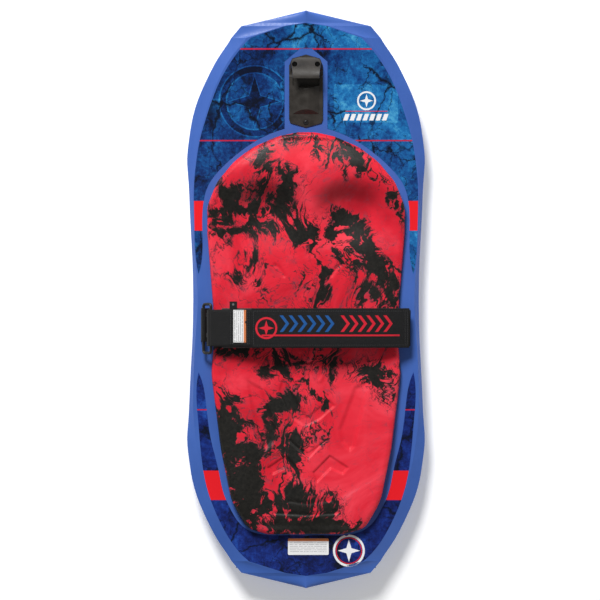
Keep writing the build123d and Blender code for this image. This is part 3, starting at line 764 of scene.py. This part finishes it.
def make_pad():
    """Closed mesh of the moulded pad: a relief on top, upright sides and a flat underside."""
    low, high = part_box("knee_pad")
    rows, outline, floors, crests = pad_rows(low, high)
    lines, areas = pad_relief()
    verts, marble, painted_well_shade = [], [], []
    for i, y in enumerate(rows):
        before, after = max(0, i - 1), min(PAD_ROWS, i + 1)
        slope = (outline[after] - outline[before]) / (rows[after] - rows[before])
        lean = 1 / math.sqrt(1 + slope * slope)
        for j in range(PAD_COLUMNS + 1):
            u = 2 * j / PAD_COLUMNS - 1
            u = u * 0.75 + 0.25 * math.sin(u * math.pi / 2)
            x = outline[i] * u
            edge = min((outline[i] - abs(x)) * lean, y - low.y, high.y - y)
            share = max(0.0, 1 - edge / EDGE_BAND)
            z = crests[i] - EDGE_DROP * (1 - math.sqrt(max(0.0, 1 - share * share)))
            z += pad_lift(x, y, ease(edge / BLEND_BAND), lines, areas)
            verts.append(Vector((x, y, z)))
            marble.append(marble_density(x, y))
            painted_well_shade.append(well_shade(x, y))

    across = PAD_COLUMNS + 1
    faces = []
    for i in range(PAD_ROWS):
        for j in range(PAD_COLUMNS):
            a = i * across + j
            faces.append((a, a + 1, a + across + 1, a + across))
    rim = list(range(across))
    rim += [i * across + PAD_COLUMNS for i in range(1, PAD_ROWS + 1)]
    rim += [PAD_ROWS * across + j for j in range(PAD_COLUMNS - 1, -1, -1)]
    rim += [i * across for i in range(PAD_ROWS - 1, 0, -1)]
    start = len(verts)
    for index in rim:
        v = verts[index]
        verts.append(Vector((v.x, v.y, floors[index // across] + PAD_INSET)))
        marble.append(marble[index])
        painted_well_shade.append(0.0)
    lower = {index: start + k for k, index in enumerate(rim)}
    for index, after in zip(rim, rim[1:] + rim[:1]):
        faces.append((index, lower[index], lower[after], after))
    faces.append([lower[j] for j in range(across)] + [lower[across + PAD_COLUMNS], lower[across]])
    for i in range(1, PAD_ROWS - 1):
        left, right = i * across, i * across + PAD_COLUMNS
        faces.append((lower[left], lower[right], lower[right + across], lower[left + across]))
    last = PAD_ROWS * across
    ends = [lower[last + j] for j in range(PAD_COLUMNS, -1, -1)]
    faces.append([lower[last - across], lower[last - across + PAD_COLUMNS]] + ends)
    pad = new_object("moulded_knee_pad", verts, faces, PAD, "board")
    point_attribute(pad, "marble", marble)
    # The second attribute holds the painted shade of the knee wells' front walls.
    point_attribute(pad, "painted_well_shade", painted_well_shade)
    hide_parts("knee_pad")


make_pad()


# ---------------------------------------------------------------- strap pieces
def centre_line(name, x_low, x_high, step):
    """Points (x, z) on the top of a strap node, from left to right."""
    tree = tree_of(name)
    count = max(2, round((x_high - x_low) / step))
    points = []
    for i in range(count + 1):
        x = x_low + (x_high - x_low) * i / count
        inner = min(x_high - 1e-4, max(x_low + 1e-4, x))
        points.append((x, top_of(tree, inner, STRAP_Y)))
    return points


def ribbon(name, line, profile, material, body, wrinkle):
    """Strip with a closed profile [(across, up)] carried along a line of (x, z) points."""
    verts, faces, uvs = [], [], []
    count = len(profile)
    for i, (x, z) in enumerate(line):
        a, b = line[max(0, i - 1)], line[min(len(line) - 1, i + 1)]
        along = Vector((b[0] - a[0], 0, b[1] - a[1])).normalized()
        normal = Vector((-along.z, 0, along.x))
        for across, up in profile:
            lift = wrinkle * noise.noise(Vector((x * 55, across * 40, 3.7)))
            edge = 0.4 + 0.6 * min(1.0, abs(up) / 0.004) if up < 0 else 1.0
            verts.append(Vector((x, STRAP_Y + across, z)) + normal * (up + lift * edge))
            uvs.append((x, STRAP_Y + across))
    for i in range(len(line) - 1):
        for j in range(count):
            k = (j + 1) % count
            here, there = i * count, (i + 1) * count
            faces.append((here + j, here + k, there + k, there + j))
    faces.append(list(range(count))[::-1])
    faces.append([(len(line) - 1) * count + j for j in range(count)])
    return new_object(name, verts, faces, material, body, uvs)


def padded_profile(width, thickness, crown, bead, steps=34):
    """Section of a sewn pad: crowned top, flat underside, rounded bound edges."""
    half = width / 2
    top = []
    for i in range(steps + 1):
        t = -1 + 2 * i / steps
        across = -t * (half - bead)
        up = -crown * abs(t) ** 3.2
        groove = math.exp(-(((abs(across) - (half - 2.6 * bead)) / (0.45 * bead)) ** 2))
        top.append((across, up - 0.45 * bead * groove))
    inner, radius = half - bead, (thickness - crown) / 2
    turns = [math.pi * i / 8 for i in range(1, 8)]
    edge = [(inner + bead * math.sin(a), radius * math.cos(a) - radius - crown) for a in turns]
    left = [(-across, up) for across, up in edge]
    bottom = [(-inner + 2 * inner * i / 10, -thickness) for i in range(11)]
    return top + left + bottom + edge[::-1]


def flat_profile(width, thickness, steps=12):
    """Section of flat webbing with slightly rounded selvedges."""
    half = width / 2
    top = [(half - width * i / steps, 0.0) for i in range(steps + 1)]
    bottom = [(-across, -thickness) for across, _ in top]
    side = half + 0.0006
    return top + [(-side, -thickness / 2)] + bottom + [(side, -thickness / 2)]


def stitches(name, places, material, body, length=0.0026, radius=0.00045):
    """Row of thread stitches; each place is (point, direction along the seam, up)."""
    verts, faces = [], []
    ring = 6
    turns = [2 * math.pi * n / ring for n in range(ring)]
    sections = ((-0.5, 0.3, -0.5), (-0.3, 1, 0.25), (0.3, 1, 0.25), (0.5, 0.3, -0.5))
    for centre, along, up in places:
        side = along.cross(up).normalized()
        base = len(verts)
        for shift, swell, rise in sections:
            for a in turns:
                out = side * (radius * swell * math.cos(a))
                out += up * (radius * (swell * math.sin(a) + rise))
                verts.append(centre + along * (length * shift) + out)
        for k in range(len(sections) - 1):
            for n in range(ring):
                m = (n + 1) % ring
                a = base + k * ring
                faces.append((a + n, a + m, a + ring + m, a + ring + n))
        faces.append([base + n for n in range(ring)][::-1])
        faces.append([base + (len(sections) - 1) * ring + n for n in range(ring)])
    return new_object(name, verts, faces, material, body)


def seam(tree, start, end, pitch=0.0042):
    """Stitch places along a straight seam in plan, laid on the surface below."""
    start, end = Vector((*start, 0)), Vector((*end, 0))
    flat = (end - start).normalized()
    count = int((end - start).length / pitch)
    places = []
    for i in range(count + 1):
        spot = start.lerp(end, (i + 0.5) / (count + 1))
        hit, normal, _, _ = tree.ray_cast(Vector((spot.x, spot.y, 1)), Vector((0, 0, -1)))
        if hit:
            up = normal if normal.z > 0 else -normal
            along = (flat - up * flat.dot(up)).normalized()
            places.append((hit + up * 0.0001, along, up))
    return places


SEAM_INSET = 0.0068  # long seams of the cover, from its edges
LABEL_INSET = 0.002
WEBBING_WIDTH, WEBBING_THICKNESS = 0.0862, 0.0027
SEAM_HALF = 0.039  # half the length of the seams across the webbing
LEAD_IN, LEAD_STEP = 0.011, 0.0022  # extra webbing that runs on into the ring


def make_flap():
    """Printed cover, folded webbing and stitching of the flap; gives the cover."""
    low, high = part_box("flap_cover")
    cover_line = centre_line("flap_cover", low.x, high.x, 0.0025)
    cover = ribbon(
        "printed_strap_cover",
        cover_line,
        padded_profile(high.y - low.y, 0.0069, 0.0011, 0.0022),
        cover_material(),
        "flap",
        wrinkle=0.0007,
    )
    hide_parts("flap_cover", "flap_padding")
    surface = mesh_tree(cover)
    rows = []
    for y in (low.y + SEAM_INSET, high.y - SEAM_INSET):
        rows += seam(surface, (low.x + 0.004, y), (high.x - 0.004, y))
    for x in (low.x + 0.005, high.x - 0.005, high.x - 0.011):
        rows += seam(surface, (x, low.y + 0.008), (x, high.y - 0.008))
    stitches("cover_stitching", rows, THREAD, "flap")

    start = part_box("flap_webbing")[0].x
    line = centre_line("flap_webbing", start + 0.0006, low.x + 0.02, 0.002)
    first = line[0]
    fall = (line[3][1] - first[1]) / (line[3][0] - first[0])
    back = [LEAD_IN - LEAD_STEP * i for i in range(5)]
    lead = [(first[0] - away, first[1] - fall * away) for away in back]
    line = [(x, z + 0.0001) for x, z in lead + line]
    profile = flat_profile(WEBBING_WIDTH, WEBBING_THICKNESS)
    strap = ribbon("folded_strap_webbing", line, profile, RIBBON, None, wrinkle=0.0009)
    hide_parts("flap_webbing")
    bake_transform(strap)
    surface = mesh_tree(strap)
    rows = []
    for x in (-0.1785, -0.1740, -0.1385, -0.1345):
        rows += seam(surface, (x, STRAP_Y - SEAM_HALF), (x, STRAP_Y + SEAM_HALF))
    stitches("seam_stitching", rows, THREAD, "flap")
    label = tree_of("flap_label")
    low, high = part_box("flap_label")
    left, right = low.x + LABEL_INSET, high.x - LABEL_INSET
    aft, fore = low.y + LABEL_INSET, high.y - LABEL_INSET
    rows = seam(label, (left, aft), (right, aft)) + seam(label, (left, fore), (right, fore))
    rows += seam(label, (left, aft), (left, fore)) + seam(label, (right, aft), (right, fore))
    stitches("label_stitching", rows, THREAD, "flap")
    return cover


def make_base_padding():
    """Padding under the strap, over the thighs."""
    low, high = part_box("base_strap_padding")
    line = centre_line("base_strap_padding", low.x, high.x, 0.004)
    line = [(x, z - 0.0001) for x, z in line]
    profile = padded_profile(high.y - low.y, 0.0052, 0.0002, 0.0022)
    piece = ribbon("thigh_padding", line, profile, NEOPRENE, "board", wrinkle=0.0002)
    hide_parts("base_strap_padding")


COVER = make_flap()
make_base_padding()


# ---------------------------------------------------------------- printed marks
RING_STEPS = 40
STAR_POINTS = 4
STAR_WAIST = 0.32  # inner corners of the star, as a share of its reach
INK_THICKNESS = 0.00015


def star_mark(centre, radius, rim=0.82, reach=0.70):
    """Plain mark: a four-pointed star inside a ring, as closed loops."""
    cx, cy = centre
    turns = [2 * math.pi * i / RING_STEPS for i in range(RING_STEPS)]
    outer = [(cx + radius * math.cos(a), cy + radius * math.sin(a)) for a in turns]
    shapes = [[outer, [(cx + rim * (x - cx), cy + rim * (y - cy)) for x, y in outer]]]
    if reach:
        star = []
        for i in range(2 * STAR_POINTS):
            a = math.pi * i / STAR_POINTS + math.pi / 2
            r = radius * (reach if i % 2 == 0 else STAR_WAIST * reach)
            star.append((cx + r * math.cos(a), cy + r * math.sin(a)))
        shapes.append([star])
    return shapes


def bars(cx, cy, width, height, count, slant=0.35, duty=0.66):
    """Row of slanted bars."""
    pitch = width / count
    lean = slant * height / 2
    low, high = cy - height / 2, cy + height / 2
    shapes = []
    for i in range(count):
        x0 = cx - width / 2 + i * pitch
        x1 = x0 + duty * pitch
        shapes.append([[(x0 - lean, low), (x1 - lean, low), (x1 + lean, high), (x0 + lean, high)]])
    return shapes


def decal(name, shapes, tree, material, body, lift=0.0001, step=0.012):
    """Thin printed shapes laid on the surface below; each shape is an outline and its holes."""
    bm = bmesh.new()
    for loops in shapes:
        edges = []
        for loop in loops:
            ring = [bm.verts.new((x, y, 0)) for x, y in loop]
            edges += [bm.edges.new((a, b)) for a, b in zip(ring, ring[1:] + ring[:1])]
        bmesh.ops.triangle_fill(bm, edges=edges, use_beauty=True)
    for axis, normal in enumerate((Vector((1, 0, 0)), Vector((0, 1, 0)))):
        values = [v.co[axis] for v in bm.verts]
        cut = min(values) + step
        while cut < max(values):
            geometry = bm.verts[:] + bm.edges[:] + bm.faces[:]
            bmesh.ops.bisect_plane(bm, geom=geometry, plane_co=normal * cut, plane_no=normal)
            cut += step
    bmesh.ops.remove_doubles(bm, verts=bm.verts[:], dist=1e-4)
    bmesh.ops.dissolve_degenerate(bm, edges=bm.edges[:], dist=5e-5)
    for face in bm.faces:
        if face.normal.z < 0:
            face.normal_flip()
    solid = bmesh.ops.extrude_face_region(bm, geom=bm.faces[:])
    raised = {v for v in solid["geom"] if isinstance(v, bmesh.types.BMVert)}
    for v in bm.verts:
        z = top_of(tree, v.co.x, v.co.y)
        v.co.z = (z or 0.0) + lift - (0 if v in raised else INK_THICKNESS)
    bmesh.ops.recalc_face_normals(bm, faces=bm.faces[:])
    mesh = bpy.data.meshes.new(name)
    bm.to_mesh(mesh)
    bm.free()
    mesh.materials.append(material)
    obj = bpy.data.objects.new(name, mesh)
    bpy.context.scene.collection.objects.link(obj)
    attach(obj, body)


WHITE_INK = ink_material("white_ink", (0.85, 0.86, 0.88))
RED_INK = ink_material("red_ink", RED)
DEEP_PRINT = rock_material("rock_print_deep", shade=0.085)
PALE_PRINT = rock_material("rock_print_pale", shade=-0.075)
front = tree_of("front_graphic")
rear = tree_of("rear_graphic", "deck_shell")
strap_top = mesh_tree(COVER)

SMALL_STAR = (0.144, 0.4735)
LARGE_STAR = (-0.122, 0.472)
TAIL_STAR = (0.102, -0.597)
STRAP_STAR = (-0.094, STRAP_Y)
RULE = [[(0.094, 0.4478), (0.194, 0.4478), (0.194, 0.4495), (0.094, 0.4495)]]
SLANTED_BARS = bars(0.145, 0.4345, 0.108, 0.0155, 7)

decal("front_star", star_mark(SMALL_STAR, 0.0225), front, WHITE_INK, "board")
decal("front_rule", [RULE], front, RED_INK, "board")
decal("front_bars", SLANTED_BARS, front, WHITE_INK, "board")
large_edge = star_mark(LARGE_STAR, 0.086, rim=0.76, reach=0.76)
large = star_mark(LARGE_STAR, 0.083, rim=0.83)
decal("front_star_large_edge", large_edge, front, PALE_PRINT, "board")
decal("front_star_large", large, front, DEEP_PRINT, "board", lift=0.00022)
tail = star_mark(TAIL_STAR, 0.038, rim=0.86)
tail_core = star_mark(TAIL_STAR, 0.0315, rim=0.93, reach=0.0)
decal("tail_star", tail, rear, WHITE_INK, "board")
decal("tail_star_core", tail_core, rear, RED_INK, "board")
on_strap = star_mark(STRAP_STAR, 0.026)
decal("strap_star", on_strap, strap_top, RED_INK, "flap", lift=0.00012, step=0.006)


# ---------------------------------------------------------------- stage, light and camera
FLOOR_SIZE, FLOOR_Z = 30, -0.0002
FLOOR_GLOW = 0.22
LIGHT_TARGET = Vector((0, 0, 0.05))
SENSOR, LENS = 36.0, 200.0
CAMERA_X, CAMERA_Y = -0.0143, -0.0006
FRAME_WIDTH = 1.4292  # metres across the picture at the deck
SKY_LOW, SKY_HIGH = (0.15, 0.46), (0.98, 0.10)  # upward direction and strength there


def make_floor():
    """White floor under the board, with a faint glow of its own."""
    bpy.ops.mesh.primitive_plane_add(size=FLOOR_SIZE, location=(0, 0, FLOOR_Z))
    floor = bpy.context.object
    floor.name = "floor"
    s = Shader("floor_paper", (0.95, 0.95, 0.95), 0.9, Specular_IOR_Level=0.1)
    s.set("Emission Color", (1, 1, 1, 1))
    s.set("Emission Strength", FLOOR_GLOW)
    floor.data.materials.append(s.material)


def area_light(name, place, size, power):
    """Round lamp that points at the board."""
    light = bpy.data.lights.new(name, "AREA")
    light.shape, light.size, light.energy = "DISK", size, power
    obj = bpy.data.objects.new(name, light)
    obj.location = place
    obj.rotation_euler = (LIGHT_TARGET - Vector(place)).to_track_quat("-Z", "Y").to_euler()
    bpy.context.scene.collection.objects.link(obj)


def make_camera():
    """Long lens straight above the board."""
    camera = bpy.data.cameras.new("camera")
    camera.sensor_width, camera.lens = SENSOR, LENS
    camera.clip_end = 60.0
    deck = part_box("front_graphic")[0].z
    obj = bpy.data.objects.new("camera", camera)
    obj.location = (CAMERA_X, CAMERA_Y, deck + FRAME_WIDTH * LENS / SENSOR)
    bpy.context.scene.collection.objects.link(obj)
    bpy.context.scene.camera = obj


def make_world():
    """Surroundings that fade from bright at the sides to dim overhead."""
    world = bpy.data.worlds.new("studio")
    world.use_nodes = True
    tree = world.node_tree
    up = tree.nodes.new("ShaderNodeSeparateXYZ")
    tree.links.new(tree.nodes.new("ShaderNodeTexCoord").outputs["Generated"], up.inputs[0])
    glow = tree.nodes.new("ShaderNodeMapRange")
    tree.links.new(up.outputs[2], glow.inputs[0])
    for index, value in enumerate((SKY_LOW[0], SKY_HIGH[0], SKY_LOW[1], SKY_HIGH[1]), 1):
        glow.inputs[index].default_value = value
    background = tree.nodes["Background"]
    background.inputs["Color"].default_value = (1, 1, 1, 1)
    tree.links.new(glow.outputs[0], background.inputs["Strength"])
    bpy.context.scene.world = world


make_floor()
area_light("key", (-1.5, 4.8, 4.5), 2.2, 530)
area_light("fill", (2.6, -3.6, 3.6), 2.5, 25)
make_world()
bpy.context.scene.view_settings.view_transform = "Standard"
make_camera()

bpy.context.view_layer.update()
